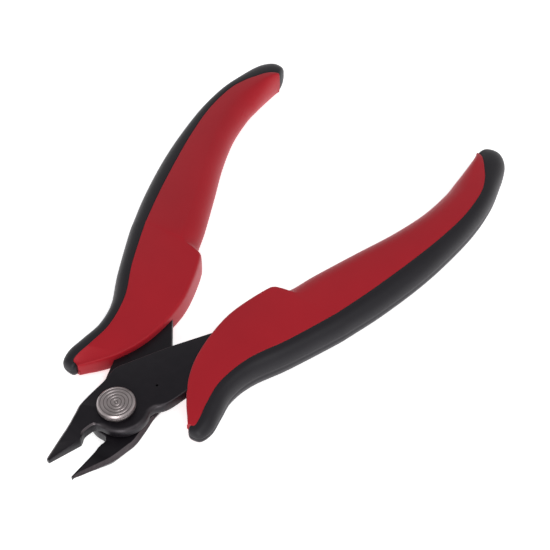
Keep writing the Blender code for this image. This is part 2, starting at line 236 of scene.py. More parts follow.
def blade_outline(edge_start, throat_depth):
    """The upper half with the jaws shut: its jaw lies at -Y and its tang at +Y."""
    boss = arc(BOSS_CENTRE, BOSS_RADIUS, BOSS_FROM, BOSS_TO, BOSS_STEPS)
    throat = spline(
        [
            (edge_start, 0),
            (edge_start - 0.8, -0.45 * throat_depth),
            (edge_start - 2, -throat_depth),
            (boss[0].x + 0.9, -0.75 * throat_depth),
            (boss[0].x + 0.3, 0.1),
            boss[0],
        ],
        6,
    )[:-1]
    outer, palm = tang()
    shoulder = spline([boss[-1], (-5.2, 6.0), (-6.5, 6.85), (-8.4, 7.4), outer[0]], 6)[1:-1]
    back = softened([shoulder[-1], *outer, *palm[::-1], Vector((-7.0, -8.0)), Vector((-2.9, -7.1))], 1.4)[1:]
    flank = spline(
        [
            (0.6, -JAW_WIDTH),
            (4.2, 0.3 - JAW_WIDTH),
            (6.4, 1.1 - JAW_WIDTH),
            (12.5, 3.6 - JAW_WIDTH),
            (TIP_REACH - 0.4, -TIP_WIDTH - 0.2),
        ],
        8,
    )
    tip = [Vector((TIP_REACH, -TIP_WIDTH)), Vector((TIP_REACH, 0))]
    return [*throat, *boss, *shoulder, *back, *flank, *tip]


def ring_of(mesh, points):
    return [mesh.verts.new(p) for p in points]


def wall_between(mesh, lower, upper):
    """Faces between two closed rings of vertices."""
    count = len(lower)
    return [
        mesh.faces.new((lower[i], lower[(i + 1) % count], upper[(i + 1) % count], upper[i]))
        for i in range(count)
    ]


def ring_edges(mesh, ring):
    return [mesh.edges.get((ring[i - 1], ring[i])) for i in range(len(ring))]


def blade_mesh(side, edge_start, throat_depth, bevel, undercut, ground_from, holes):
    """A half in its own drawing, in millimetres, with round edges and the jaw turned up."""
    outline = blade_outline(edge_start, throat_depth)
    count = len(outline)
    low = LAP_GAP / 2 if side > 0 else -LAP_GAP / 2 - PLATE
    high = low + PLATE
    mesh = bmesh.new()
    edge_paling = mesh.verts.layers.float.new("pale_edge_band")
    on_edge = [p.y > -throat_depth and p.x > edge_start - 1 for p in outline]
    rings = []
    for level in range(2 * CORNER_STEPS + 2):
        at_top = level > CORNER_STEPS
        t = (level - CORNER_STEPS - 1 if at_top else level) / CORNER_STEPS
        a = t * math.pi / 2
        points = []
        for i, p in enumerate(outline):
            inward = (outline[(i + 1) % count] - outline[i - 1]).normalized()
            inward = Vector((-inward.y, inward.x))
            outer_side = eased((-p.y - 0.3) / 0.3)
            corner = min(bevel, 0.7 * abs(p.y))
            on_boss = side > 0 and eased((p.y + 0.6) / 1.5) * eased((p.x + 9) / 4)
            round_off = EDGE_ROUND + (BOSS_ROUND - EDGE_ROUND) * on_boss
            if on_edge[i]:
                round_off = CUTTING_EDGE_ROUND
            ground = outer_side * eased((p.x - ground_from) / GROUND_RUN)
            if at_top:
                inset = round_off * (1 - math.cos(a)) * (1 - ground) + corner * t * ground
                z = high - round_off * (1 - math.sin(a)) * (1 - ground) - corner * (1 - t) * ground
            else:
                inset = round_off * (1 - math.sin(a))
                z = low + round_off * (1 - math.cos(a))
            lean = min(1, max(0, (high - bevel - z) / (PLATE - bevel)))
            inset += undercut * lean * outer_side * eased((p.x - HEEL) / 1.5)
            q = p + inward * inset
            points.append((q.x, q.y * side, z))
        ring = ring_of(mesh, points)
        for vert, is_edge in zip(ring, on_edge):
            # the greyer band peaks at the middle of each rounded edge and is left off the cutting edge
            vert[edge_paling] = 0 if is_edge else EDGE_PALENESS * math.sin(2 * a)
        rings.append(ring)
    for level, (lower, upper) in enumerate(zip(rings, rings[1:])):
        for i, face in enumerate(wall_between(mesh, lower, upper)):
            p = outline[i]
            is_ground = p.x > ground_from + 0.5 and p.y < -0.5
            face.material_index = 1 if level > CORNER_STEPS and is_ground else 0
    caps = {low: ring_edges(mesh, rings[0]), high: ring_edges(mesh, rings[-1])}
    for hole in holes:
        levels = [ring_of(mesh, [(p.x, p.y, z) for p in edge]) for edge, z in zip(hole, (low, high))]
        wall_between(mesh, *levels)
        for z, ring in zip((low, high), levels):
            caps[z] += ring_edges(mesh, ring)
    for edges in caps.values():
        bmesh.ops.triangle_fill(mesh, edges=edges, use_beauty=True)
    for i in range(BEND_CUTS):
        x = JAW_BEND + BEND_LENGTH * (i / (BEND_CUTS - 1) - 0.5)
        geometry = [*mesh.verts, *mesh.edges, *mesh.faces]
        bmesh.ops.bisect_plane(mesh, geom=geometry, plane_co=(x, 0, 0), plane_no=(1, 0, 0))
    lap = side * LAP_GAP / 2
    bend_start = JAW_BEND - BEND_LENGTH / 2
    for vert in mesh.verts:
        past = vert.co.x - bend_start
        if past > 0:
            thin = (TIP_THICKNESS / PLATE - 1) * max(0, vert.co.x - JAW_BEND) / (TIP_REACH - JAW_BEND) + 1
            rise = past**2 / 2 / BEND_LENGTH if past < BEND_LENGTH else past - BEND_LENGTH / 2
            vert.co.z = lap + (vert.co.z - lap) * thin + rise * math.tan(JAW_ANGLE)
    return mesh


def finished(name, mesh, side, *materials, sharp_over=35):
    """The drawing as an object at the world's origin. side is 1 or -1 for a half, 0 for what stays put."""
    turn = Matrix.Rotation(-side * HALF_OPENING, 4, "Z")
    mesh.transform(Matrix.Translation(HINGE) @ turn @ Matrix.Scale(MM, 4))
    bmesh.ops.recalc_face_normals(mesh, faces=mesh.faces)
    data = bpy.data.meshes.new(name)
    mesh.to_mesh(data)
    mesh.free()
    data.shade_smooth()
    data.set_sharp_from_angle(angle=math.radians(sharp_over))
    for made_of in materials:
        data.materials.append(made_of)
    made = bpy.data.objects.new(name, data)
    bpy.context.scene.collection.objects.link(made)
    return made


def circle(centre, radius, steps=48):
    return arc(centre, radius, 0, 2 * math.pi, steps)[:-1]


spring_hole = turned(SPRING_END, HALF_OPENING)
tang_hole = turned(TANG_HOLE, DRAWN_OPEN)
slot_middle = arc(
    (0, 0),
    spring_hole.length,
    math.atan2(SPRING_END[1], SPRING_END[0]) + HALF_OPENING,
    math.atan2(SPRING_END[1], SPRING_END[0]) - HALF_OPENING,
    12,
)
widen = SPRING_HOLE_RADIUS / spring_hole.length
slot_start = math.atan2(slot_middle[0].y, slot_middle[0].x)
slot_end = math.atan2(slot_middle[-1].y, slot_middle[-1].x)
slot = [
    *arc(slot_middle[0], SPRING_HOLE_RADIUS, slot_start, slot_start + math.pi, 10),
    *[p * (1 - widen) for p in slot_middle[1:-1]],
    *arc(slot_middle[-1], SPRING_HOLE_RADIUS, slot_end + math.pi, slot_end + 2 * math.pi, 10),
    *[p * (1 + widen) for p in slot_middle[-2:0:-1]],
]

for half, side, edge_start, throat_depth, bevel, undercut, ground_from in (
    ("upper", 1, UPPER_EDGE_START, THROAT_DEPTH, UPPER_JAW_BEVEL, 0, JAW_ROOT),
    (
        "lower",
        -1,
        LOWER_EDGE_START,
        LOWER_THROAT_DEPTH,
        LOWER_JAW_BEVEL,
        LOWER_UNDERCUT,
        LOWER_GROUND_FROM,
    ),
):
    spring_at = (spring_hole.x, spring_hole.y * side)
    top_radius = SPRING_PEEN_RADIUS if side > 0 else SPRING_HOLE_RADIUS
    holes = [
        [circle((0, 0), BORE_RADIUS, 64)] * 2,
        [circle((tang_hole.x, tang_hole.y * side), TANG_HOLE_RADIUS)] * 2,
        [circle(spring_at, SPRING_HOLE_RADIUS, 32), circle(spring_at, top_radius, 32)],
    ]
    if side < 0:
        holes.append([slot, slot])
    blade = finished(
        f"{half}_steel_half",
        blade_mesh(side, edge_start, throat_depth, bevel, undercut, ground_from, holes),
        side,
        black_oxide,
        ground_oxide,
    )
    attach(blade, f"{half}_half")
    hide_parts(f"{half}_blade")


# ---- The rivet and its washer ----
# One rivet, turned from free-cutting steel, holds the lap. Its flat head shows the rings the lathe tool
# left on its face, and its foot is closed over a plain washer under the lower half.

SEAT = LAP_GAP / 2 + PLATE
HEAD_RADIUS = 4.1
HEAD_TOP = SEAT + 2.1
RIM_BEVEL = 0.38
RIM_GROOVE_LEVEL = HEAD_TOP - 0.8
RIM_GROOVE_HALF = 0.12
RIM_GROOVE_DEPTH = 0.16
RING_COUNT = 5
RING_DEPTH = 0.13
FACE_STEPS = 60
TURNED_SEGMENTS = 96
WELD = 0.001  # points nearer than this are joined
NECK_RADIUS = 3.5
NECK_TOP = SEAT + 0.7
WASHER_TOP = -SEAT - 0.1
WASHER_LOW = WASHER_TOP - 0.45
WASHER_RADIUS = 3.9
FOOT_TOP = WASHER_LOW - 0.1
FOOT_LOW = FOOT_TOP - 0.45
FOOT_RADIUS = 3.2

# Turned steel: fine grooves round the axis from the tool's feed, with painted shade darkening the deeper
# rings.
turned_steel, tree, shader = new_material("turned_steel", Metallic=1.0)
place = add(tree, "ShaderNodeTexCoord", {}).outputs["Object"]
FEED_MM = 0.25  # the real feed is near 0.08 mm, drawn coarser so that it shows
HANDLING_MM = 1.6
centred = add(tree, "ShaderNodeMapping", {"Vector": place, "Location": -HINGE})
WAVE_PITCH = 2 * math.pi / 20  # the texture's own distance between rings at a scale of 1
feed, groove = (
    add(
        tree,
        "ShaderNodeTexWave",
        {
            "Vector": centred.outputs["Vector"],
            "Scale": WAVE_PITCH / (pitch * MM),
            "Distortion": uneven,
            "Detail": 1,
        },
        wave_type="RINGS",
        rings_direction="Z",
    )
    for pitch, uneven in ((FEED_MM, 0.4), ((HEAD_RADIUS - RIM_BEVEL) / RING_COUNT, 0))
)
handling = add(tree, "ShaderNodeTexNoise", {"Vector": place, "Scale": 1 / (HANDLING_MM * MM), "Detail": 3})
tone = add(
    tree,
    "ShaderNodeMix",
    {"Factor": handling.outputs["Fac"], "A": linear("#958B8C"), "B": linear("#BCB3B3")},
    data_type="RGBA",
)
# painted shade: at the pitch of the head's ring grooves the colour is darkened towards #453E3F, as if the
# deeper rings lay in shadow
groove_shade = add(tree, "ShaderNodeMapRange", {"Value": groove.outputs["Fac"], "From Min": 0.6, "To Max": 0.6})
groove_shaded = add(
    tree,
    "ShaderNodeMix",
    {"Factor": groove_shade.outputs["Result"], "A": tone.outputs["Result"], "B": linear("#453E3F")},
    data_type="RGBA",
)
tree.links.new(groove_shaded.outputs["Result"], shader.inputs["Base Color"])
gloss = add(tree, "ShaderNodeMapRange", {"Value": handling.outputs["Fac"], "To Min": 0.34, "To Max": 0.46})
tree.links.new(gloss.outputs["Result"], shader.inputs["Roughness"])
bump = add(tree, "ShaderNodeBump", {"Height": feed.outputs["Fac"], "Strength": 0.15, "Distance": 0.02 * MM})
tree.links.new(bump.outputs["Normal"], shader.inputs["Normal"])


def socket_of(tree, name):
    return next(item.identifier for item in tree.interface.items_tree if item.name == name)


# The lathe: turns the profile's points round the Z axis.
lathe = bpy.data.node_groups.new("lathe", "GeometryNodeTree")
lathe.interface.new_socket("Profile", in_out="INPUT", socket_type="NodeSocketGeometry")
lathe.interface.new_socket("Segments", in_out="INPUT", socket_type="NodeSocketInt")
lathe.interface.new_socket("Made of", in_out="INPUT", socket_type="NodeSocketMaterial")
lathe.interface.new_socket("Geometry", in_out="OUTPUT", socket_type="NodeSocketGeometry")
given = add(lathe, "NodeGroupInput", {})
points = add(
    lathe, "GeometryNodeAttributeDomainSize", {"Geometry": given.outputs["Profile"]}, component="MESH"
)
around = add(lathe, "ShaderNodeMath", {0: given.outputs["Segments"], 1: 1}, operation="ADD")
sheet = add(
    lathe,
    "GeometryNodeMeshGrid",
    {
        "Size X": 1,
        "Size Y": 1,
        "Vertices X": points.outputs["Point Count"],
        "Vertices Y": around.outputs[0],
    },
)
spot = add(lathe, "ShaderNodeSeparateXYZ", {"Vector": add(lathe, "GeometryNodeInputPosition", {}).outputs[0]})
lengths = add(lathe, "ShaderNodeMath", {0: points.outputs["Point Count"], 1: 1}, operation="SUBTRACT")
share = add(lathe, "ShaderNodeMath", {0: spot.outputs["X"], 1: 0.5}, operation="ADD")
row = add(lathe, "ShaderNodeMath", {0: share.outputs[0], 1: lengths.outputs[0]}, operation="MULTIPLY")
row = add(lathe, "ShaderNodeMath", {0: row.outputs[0]}, operation="ROUND")
angle = add(lathe, "ShaderNodeMath", {0: spot.outputs["Y"], 1: 2 * math.pi}, operation="MULTIPLY")
drawn = add(
    lathe,
    "GeometryNodeSampleIndex",
    {
        "Geometry": given.outputs["Profile"],
        "Value": add(lathe, "GeometryNodeInputPosition", {}).outputs[0],
        "Index": row.outputs[0],
    },
    data_type="FLOAT_VECTOR",
    domain="POINT",
)
profile = add(lathe, "ShaderNodeSeparateXYZ", {"Vector": drawn.outputs["Value"]})
cosine = add(lathe, "ShaderNodeMath", {0: angle.outputs[0]}, operation="COSINE")
sine = add(lathe, "ShaderNodeMath", {0: angle.outputs[0]}, operation="SINE")
x = add(lathe, "ShaderNodeMath", {0: profile.outputs["X"], 1: cosine.outputs[0]}, operation="MULTIPLY")
y = add(lathe, "ShaderNodeMath", {0: profile.outputs["X"], 1: sine.outputs[0]}, operation="MULTIPLY")
on_lathe = add(
    lathe, "ShaderNodeCombineXYZ", {"X": x.outputs[0], "Y": y.outputs[0], "Z": profile.outputs["Z"]}
)
shaped = add(
    lathe,
    "GeometryNodeSetPosition",
    {"Geometry": sheet.outputs["Mesh"], "Position": on_lathe.outputs["Vector"]},
)
closed = add(lathe, "GeometryNodeMergeByDistance", {"Geometry": shaped.outputs["Geometry"], "Distance": WELD})
real = add(lathe, "GeometryNodeRealizeInstances", {"Geometry": closed.outputs["Geometry"]})
coated = add(
    lathe,
    "GeometryNodeSetMaterial",
    {"Geometry": real.outputs["Geometry"], "Material": given.outputs["Made of"]},
)
add(lathe, "NodeGroupOutput", {"Geometry": coated.outputs["Geometry"]})


def grown(name, data, tree, inputs):
    """The bmesh of an object after a node tree, run with the named inputs."""
    source = bpy.data.objects.new(name, data)
    bpy.context.scene.collection.objects.link(source)
    modifier = source.modifiers.new(name, "NODES")
    modifier.node_group = tree
    for socket, value in inputs.items():
        modifier[socket_of(tree, socket)] = value
    graph = bpy.context.evaluated_depsgraph_get()
    result = bpy.data.meshes.new_from_object(source.evaluated_get(graph), depsgraph=graph)
    bpy.data.objects.remove(source)
    mesh = bmesh.new()
    mesh.from_mesh(result)
    bmesh.ops.remove_doubles(mesh, verts=mesh.verts, dist=WELD / 2)
    return mesh


def lathed(name, profile, made_of, sharp_over=35):
    line = bpy.data.meshes.new(name)
    line.from_pydata([(r, 0, z) for r, z in profile], [(i, i + 1) for i in range(len(profile) - 1)], [])
    mesh = grown(f"{name}_profile", line, lathe, {"Segments": TURNED_SEGMENTS, "Made of": made_of})
    return finished(name, mesh, 0, made_of, sharp_over=sharp_over)


face_radius = HEAD_RADIUS - RIM_BEVEL
face = []
for i in range(FACE_STEPS + 1):
    wave = math.cos(2 * math.pi * RING_COUNT * i / FACE_STEPS)
    face.append((face_radius * i / FACE_STEPS, HEAD_TOP - RING_DEPTH * (0.5 - 0.5 * wave)))
rivet = lathed(
    "turned_rivet",
    [
        *face,
        (HEAD_RADIUS - 0.1, HEAD_TOP - RIM_BEVEL + 0.1),
        (HEAD_RADIUS, HEAD_TOP - RIM_BEVEL - 0.05),
        (HEAD_RADIUS, RIM_GROOVE_LEVEL + RIM_GROOVE_HALF),
        (HEAD_RADIUS - RIM_GROOVE_DEPTH, RIM_GROOVE_LEVEL),
        (HEAD_RADIUS, RIM_GROOVE_LEVEL - RIM_GROOVE_HALF),
        (HEAD_RADIUS, NECK_TOP + 0.05),
        (HEAD_RADIUS - 0.05, NECK_TOP),
        (NECK_RADIUS, NECK_TOP),
        (NECK_RADIUS, SEAT + 0.05),
        (SHANK_RADIUS, SEAT + 0.05),
        (SHANK_RADIUS, FOOT_TOP),
        (FOOT_RADIUS - 0.1, FOOT_TOP),
        (FOOT_RADIUS, FOOT_TOP - 0.1),
        (FOOT_RADIUS - 0.05, FOOT_LOW + 0.15),
        (FOOT_RADIUS - 0.3, FOOT_LOW),
        (0, FOOT_LOW),
    ],
    turned_steel,
)
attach(rivet, "upper_half")
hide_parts("pivot_rivet")

washer = lathed(
    "rivet_washer_ring",
    [
        (BORE_RADIUS, WASHER_TOP),
        (WASHER_RADIUS - 0.08, WASHER_TOP),
        (WASHER_RADIUS, WASHER_TOP - 0.08),
        (WASHER_RADIUS, WASHER_LOW + 0.08),
        (WASHER_RADIUS - 0.08, WASHER_LOW),
        (BORE_RADIUS, WASHER_LOW),
        (BORE_RADIUS, WASHER_TOP),
    ],
    turned_steel,
)
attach(washer, "upper_half")
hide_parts("rivet_washer")


# ---- The return spring ----
# A 0.9 mm music wire bent half round the rivet under the lap. One end hooks up into the lower half, the
# other passes its slot into the small hole in the upper half, and the wire pushes the grips apart.

SPRING_RADIUS = 4.5
HOOK_RADIUS = 0.7
HOOK_STEPS = 6
LOWER_END_DEPTH = 0.6  # how far each end stands short of the far face of its half
UPPER_END_DEPTH = 1.7
SPRING_LEVEL = WASHER_TOP - WIRE / 2

# Music wire: drawn bright steel, with faint marks along the wire from the die.
music_wire, tree, shader = new_material("drawn_music_wire", Metallic=1.0, Roughness=0.28)
place = add(tree, "ShaderNodeTexCoord", {}).outputs["Object"]
DIE_MARK_MM = 0.3
marks = add(tree, "ShaderNodeTexNoise", {"Vector": place, "Scale": 1 / (DIE_MARK_MM * MM), "Detail": 2})
tone = add(
    tree,
    "ShaderNodeMix",
    {"Factor": marks.outputs["Fac"], "A": linear("#837F82"), "B": linear("#A9A5A8")},
    data_type="RGBA",
)
tree.links.new(tone.outputs["Result"], shader.inputs["Base Color"])

x, y = SPRING_END
flat = [Vector((x + HOOK_RADIUS, -y - 0.12)), Vector((x + 4.5, -y - 0.9))]
flat += arc((0, 0), SPRING_RADIUS, math.radians(-100), math.radians(100), 10)
flat += [Vector((x + 4.5, y + 0.9)), Vector((x + HOOK_RADIUS, y + 0.12))]
wire_route = [(p.x, p.y, SPRING_LEVEL) for p in spline(flat, 6)]
for end, start, top in ((0, -y, LOWER_END_DEPTH - SEAT), (-1, y, SEAT - UPPER_END_DEPTH)):
    foot = Vector(wire_route[end])
    hook = []
    for i in range(1, HOOK_STEPS + 1):
        a = i / HOOK_STEPS * math.pi / 2
        across = math.sin(a)
        level = SPRING_LEVEL + HOOK_RADIUS * (1 - math.cos(a))
        hook.append((foot.x - HOOK_RADIUS * across, foot.y + (start - foot.y) * across, level))
    hook.append((x, start, top))
    wire_route = [*hook[::-1], *wire_route] if end == 0 else [*wire_route, *hook]

wire_draw = bpy.data.node_groups.new("wire_draw", "GeometryNodeTree")
wire_draw.interface.new_socket("Route", in_out="INPUT", socket_type="NodeSocketGeometry")
wire_draw.interface.new_socket("Wire radius", in_out="INPUT", socket_type="NodeSocketFloat")
wire_draw.interface.new_socket("Sides", in_out="INPUT", socket_type="NodeSocketInt")
wire_draw.interface.new_socket("Made of", in_out="INPUT", socket_type="NodeSocketMaterial")
wire_draw.interface.new_socket("Geometry", in_out="OUTPUT", socket_type="NodeSocketGeometry")
given = add(wire_draw, "NodeGroupInput", {})
path = add(wire_draw, "GeometryNodeMeshToCurve", {"Mesh": given.outputs["Route"]})
section = add(
    wire_draw,
    "GeometryNodeCurvePrimitiveCircle",
    {"Resolution": given.outputs["Sides"], "Radius": given.outputs["Wire radius"]},
)
drawn = add(
    wire_draw,
    "GeometryNodeCurveToMesh",
    {"Curve": path.outputs["Curve"], "Profile Curve": section.outputs["Curve"], "Fill Caps": True},
)
real = add(wire_draw, "GeometryNodeRealizeInstances", {"Geometry": drawn.outputs["Mesh"]})
coated = add(
    wire_draw,
    "GeometryNodeSetMaterial",
    {"Geometry": real.outputs["Geometry"], "Material": given.outputs["Made of"]},
)
add(wire_draw, "NodeGroupOutput", {"Geometry": coated.outputs["Geometry"]})

line = bpy.data.meshes.new("spring_route")
line.from_pydata(wire_route, [(i, i + 1) for i in range(len(wire_route) - 1)], [])
mesh = grown("spring_route", line, wire_draw, {"Wire radius": WIRE / 2, "Sides": 20, "Made of": music_wire})
spring = finished("wire_return_spring", mesh, 0, music_wire, sharp_over=50)
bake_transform(spring)
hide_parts("return_spring")


# ---- The grips ----
# Each grip is moulded in two shots round the tang: a hard red polypropylene core with a broad round palm
# side and a crisp finger flank at the front, then a soft black rubber cover over its outer side and ends.

GRIP_HALF = 4.0
GRIP_NOSE_HALF = 1.9
GRIP_END_HALF = 3.2
FULL_FROM = 3
FULL_TO = 12
CRISP_FROM = 10.5
CRISP_BY = 11.0
STATIONS = 8  # between two drawn sections
BOND_LINE = 0.02
SHOT_EDGE = 0.14  # small round where the two mouldings meet
PALM_ROUND = 5.2
PALM_ROUND_SHARE = 0.6
FLANK_ROUND = 1.3
FLANK_SQUARENESS = 0.42
FLANK_RISE = 1.6  # past the lap, on the side the other blade sweeps
FALL_FROM = 9.5
FALL_TO = 14
PARTING_WIDTH = 0.05  # as a share of the section's turn
PARTING_DEPTH = 0.13
TANG_FIT = 0.04
NIB = 0.35  # a small point left at the front of the core by the mould's split
NIB_FROM = 18.4
NIB_RUN = 0.6
NIB_LOW = 0.3  # as shares of the half thickness, where the nib starts and how soon it is full
NIB_RISE = 0.5
SHOT_STEPS = 3
PALM_STEPS = 32
COVER_STEPS = 44
COVER_FULLNESS = 0.85  # below 1 the cover is fuller than an ellipse
CORE_END_REACH = 0.35  # in sections, how far each moulding takes to round off at its ends
COVER_END_REACH = 0.7
NECK_OUTER_RUN = 12  # how far the pocket runs on past the tang at the neck
NECK_PALM_RUN = 2

# Each section of a grip: the boundary between core and cover, and the cover's outer side
COVER = [
    ((-110.7, 29.3), (-113.2, 29.2)),
    ((-110.3, 30.3), (-115.2, 31.2)),
    ((-109.1, 31.5), (-115.0, 34.2)),
    ((-106.6, 33.1), (-111.4, 37.0)),
    ((-102.2, 35.4), (-104.5, 38.7)),
    ((-97.0, 36.7), (-97.5, 39.8)),
    ((-87.9, 36.7), (-88.0, 39.9)),
    ((-77.4, 35.0), (-76.5, 38.6)),
    ((-67.3, 32.6), (-66.0, 36.6)),
    ((-56.3, 29.6), (-54.5, 33.4)),
    ((-47.8, 26.9), (-45.8, 30.3)),
    ((-44.2, 25.6), (-42.0, 28.8)),
    ((-33.5, 21.0), (-30.5, 23.4)),
    ((-25.0, 16.6), (-22.5, 19.1)),
    ((-17.0, 14.7), (-16.5, 17.8)),
    ((-11.0, 15.2), (-11.5, 18.5)),
    ((-7.5, 15.9), (-7.3, 19.1)),
    ((-5.6, 16.0), (-4.4, 18.3)),
    ((-5.1, 15.5), (-3.7, 16.4)),
    ((-5.2, 14.9), (-3.9, 14.6)),
]
# The palm side and then the front edge of the core, one point for each section of the cover
CORE = [
    (-110.5, 29.1),
    (-109.8, 29.1),
    (-108.0, 29.1),
    (-104.0, 29.0),
    (-99.0, 28.8),
    (-94.0, 28.6),
    (-85.0, 27.1),
    (-75.0, 23.8),
    (-64.5, 19.3),
    (-54.0, 14.9),
    (-47.2, 12.3),
    (-44.6, 9.4),
    (-35.2, 6.3),
    (-28.0, 5.6),
    (-20.0, 6.3),
    (-14.0, 8.2),
    (-9.6, 10.8),
    (-6.6, 13.1),
    (-5.2, 14.2),
    (-5.0, 14.5),
]

# Polypropylene from a spark-eroded mould: an even satin red with a fine grain.
red_core, tree, shader = new_material("satin_polypropylene_red", IOR=1.49, Specular_IOR_Level=0.25)
place = add(tree, "ShaderNodeTexCoord", {}).outputs["Object"]
SPARK_GRAIN_MM = 0.28  # the real grain is near 0.1 mm, drawn coarser so that it shows
FLOW_MM = 14
grain = add(tree, "ShaderNodeTexNoise", {"Vector": place, "Scale": 1 / (SPARK_GRAIN_MM * MM), "Detail": 2})
flow = add(tree, "ShaderNodeTexNoise", {"Vector": place, "Scale": 1 / (FLOW_MM * MM), "Detail": 2})
tone = add(
    tree,
    "ShaderNodeMix",
    {"Factor": flow.outputs["Fac"], "A": linear("#98121F"), "B": linear("#AA1724")},
    data_type="RGBA",
)
tree.links.new(tone.outputs["Result"], shader.inputs["Base Color"])
gloss = add(tree, "ShaderNodeMapRange", {"Value": grain.outputs["Fac"], "To Min": 0.4, "To Max": 0.54})
tree.links.new(gloss.outputs["Result"], shader.inputs["Roughness"])
bump = add(tree, "ShaderNodeBump", {"Height": grain.outputs["Fac"], "Strength": 0.16, "Distance": 0.04 * MM})
tree.links.new(bump.outputs["Normal"], shader.inputs["Normal"])

shader.inputs["Sheen Weight"].default_value = 0.22
shader.inputs["Sheen Roughness"].default_value = 0.4
shader.inputs["Sheen Tint"].default_value = linear("#F0A8B8")

# Thermoplastic rubber: soft black with a fine grain that greys where the light grazes it.
black_cover, tree, shader = new_material("thermoplastic_rubber_black", IOR=1.5, Specular_IOR_Level=0.3)
shader.inputs["Sheen Weight"].default_value = 0.16
shader.inputs["Sheen Roughness"].default_value = 0.35
shader.inputs["Sheen Tint"].default_value = linear("#B5ABB8")
place = add(tree, "ShaderNodeTexCoord", {}).outputs["Object"]
RUBBER_GRAIN_MM = 0.32  # the real grain is near 0.12 mm, drawn coarser so that it shows
BLOOM_MM = 9
grain = add(tree, "ShaderNodeTexNoise", {"Vector": place, "Scale": 1 / (RUBBER_GRAIN_MM * MM), "Detail": 2})
bloom = add(tree, "ShaderNodeTexNoise", {"Vector": place, "Scale": 1 / (BLOOM_MM * MM), "Detail": 3})
tone = add(
    tree,
    "ShaderNodeMix",
    {"Factor": bloom.outputs["Fac"], "A": linear("#151318"), "B": linear("#1D1B20")},
    data_type="RGBA",
)
tree.links.new(tone.outputs["Result"], shader.inputs["Base Color"])
gloss = add(tree, "ShaderNodeMapRange", {"Value": grain.outputs["Fac"], "To Min": 0.42, "To Max": 0.58})
tree.links.new(gloss.outputs["Result"], shader.inputs["Roughness"])
bump = add(tree, "ShaderNodeBump", {"Height": grain.outputs["Fac"], "Strength": 0.2, "Distance": 0.05 * MM})
tree.links.new(bump.outputs["Normal"], shader.inputs["Normal"])


def grip_sections():
    """For each station: its number along the sections, palm, boundary and outer points, half thickness."""
    edge = spline([b for b, _ in COVER], STATIONS)
    side = spline([o for _, o in COVER], STATIONS)
    palm = spline(CORE, STATIONS)
    last = len(COVER) - 1
    for i, (p, b, o) in enumerate(zip(palm, edge, side)):
        s = i / STATIONS
        half = min(
            GRIP_END_HALF + (GRIP_HALF - GRIP_END_HALF) * eased(s / FULL_FROM),
            GRIP_NOSE_HALF + (GRIP_HALF - GRIP_NOSE_HALF) * eased((last - s) / (last - FULL_TO)),
        )
        yield s, p, b, o, half


def end_taper(s, reach):
    """Rounds a moulding off towards its two ends."""
    last = len(COVER) - 1
    t = min(1, s / reach, (last - s) / reach)
    return max(0.12, math.sqrt(max(0, 1 - (1 - t) ** 2)))


def loft(rings):
    mesh = bmesh.new()
    loops = [ring_of(mesh, ring) for ring in rings]
    for lower, upper in zip(loops, loops[1:]):
        wall_between(mesh, lower, upper)
    mesh.faces.new(loops[0][::-1])
    mesh.faces.new(loops[-1])
    return mesh


def in_drawing(point, z, side):
    q = turned(point, DRAWN_OPEN)
    return (q.x, q.y * side, z)


def power(value, exponent):
    return math.copysign(abs(value) ** exponent, value)


def core_mesh(side):
    rings = []
    for s, palm, edge, _, half in grip_sections():
        across = (edge - palm).normalized()
        width = (edge - palm).length - BOND_LINE / 2
        crisp = eased((s - CRISP_FROM) / (CRISP_BY - CRISP_FROM))
        broad = min(PALM_ROUND, PALM_ROUND_SHARE * width)
        rounding = broad + (min(FLANK_ROUND, 0.45 * width) - broad) * crisp
        square = 1 + (FLANK_SQUARENESS - 1) * crisp
        half *= end_taper(s, CORE_END_REACH)
        fall = eased((s - FALL_FROM) / (FALL_TO - FALL_FROM))
        flank = half + (min(half, FLANK_RISE) - half) * fall
        ring = []
        for i in range(PALM_STEPS + 1):
            a = math.radians(-90 + 180 * i / PALM_STEPS)
            u = rounding * (1 - power(math.cos(a), square))
            u -= NIB * eased((s - NIB_FROM) / NIB_RUN) * eased((math.sin(a) * side - NIB_LOW) / NIB_RISE)
            tall = flank if a * side < 0 else half
            ring.append(in_drawing(palm + across * u, tall * power(math.sin(a), square), side))
        corner = min(SHOT_EDGE, 0.3 * width)
        wall = palm + across * width
        for i in range(SHOT_STEPS + 1):
            a = i / SHOT_STEPS * math.pi / 2
            point = wall - across * corner * (1 - math.sin(a))
            ring.append(in_drawing(point, half - corner * (1 - math.cos(a)), side))
        for i in range(SHOT_STEPS + 1):
            a = i / SHOT_STEPS * math.pi / 2
            point = wall - across * corner * (1 - math.cos(a))
            ring.append(in_drawing(point, corner * (1 - math.sin(a)) - half, side))
        rings.append(ring)
    return loft(rings)


def cover_mesh(side):
    rings = []
    for s, _, edge, outer, half in grip_sections():
        out = (outer - edge).normalized()
        taper = end_taper(s, COVER_END_REACH)
        base = edge + out * BOND_LINE / 2
        width = ((outer - edge).length - BOND_LINE / 2) * taper
        half *= 0.35 + 0.65 * taper
        corner = min(SHOT_EDGE, 0.2 * width)
        ring = []
        for i in range(SHOT_STEPS):
            a = i / SHOT_STEPS * math.pi / 2
            point = base + out * corner * (1 - math.cos(a))
            ring.append(in_drawing(point, half - corner * (1 - math.sin(a)), side))
        for i in range(COVER_STEPS + 1):
            t = 2 * i / COVER_STEPS - 1
            a = t * math.pi / 2
            u = corner + (width - corner) * power(math.cos(a), COVER_FULLNESS)
            u -= PARTING_DEPTH * taper * max(0, 1 - abs(t) / PARTING_WIDTH)
            ring.append(in_drawing(base + out * u, -half * power(math.sin(a), COVER_FULLNESS), side))
        for i in range(1, SHOT_STEPS + 1):
            a = i / SHOT_STEPS * math.pi / 2
            point = base + out * corner * (1 - math.sin(a))
            ring.append(in_drawing(point, corner * (1 - math.cos(a)) - half, side))
        rings.append(ring)
    return loft(rings)


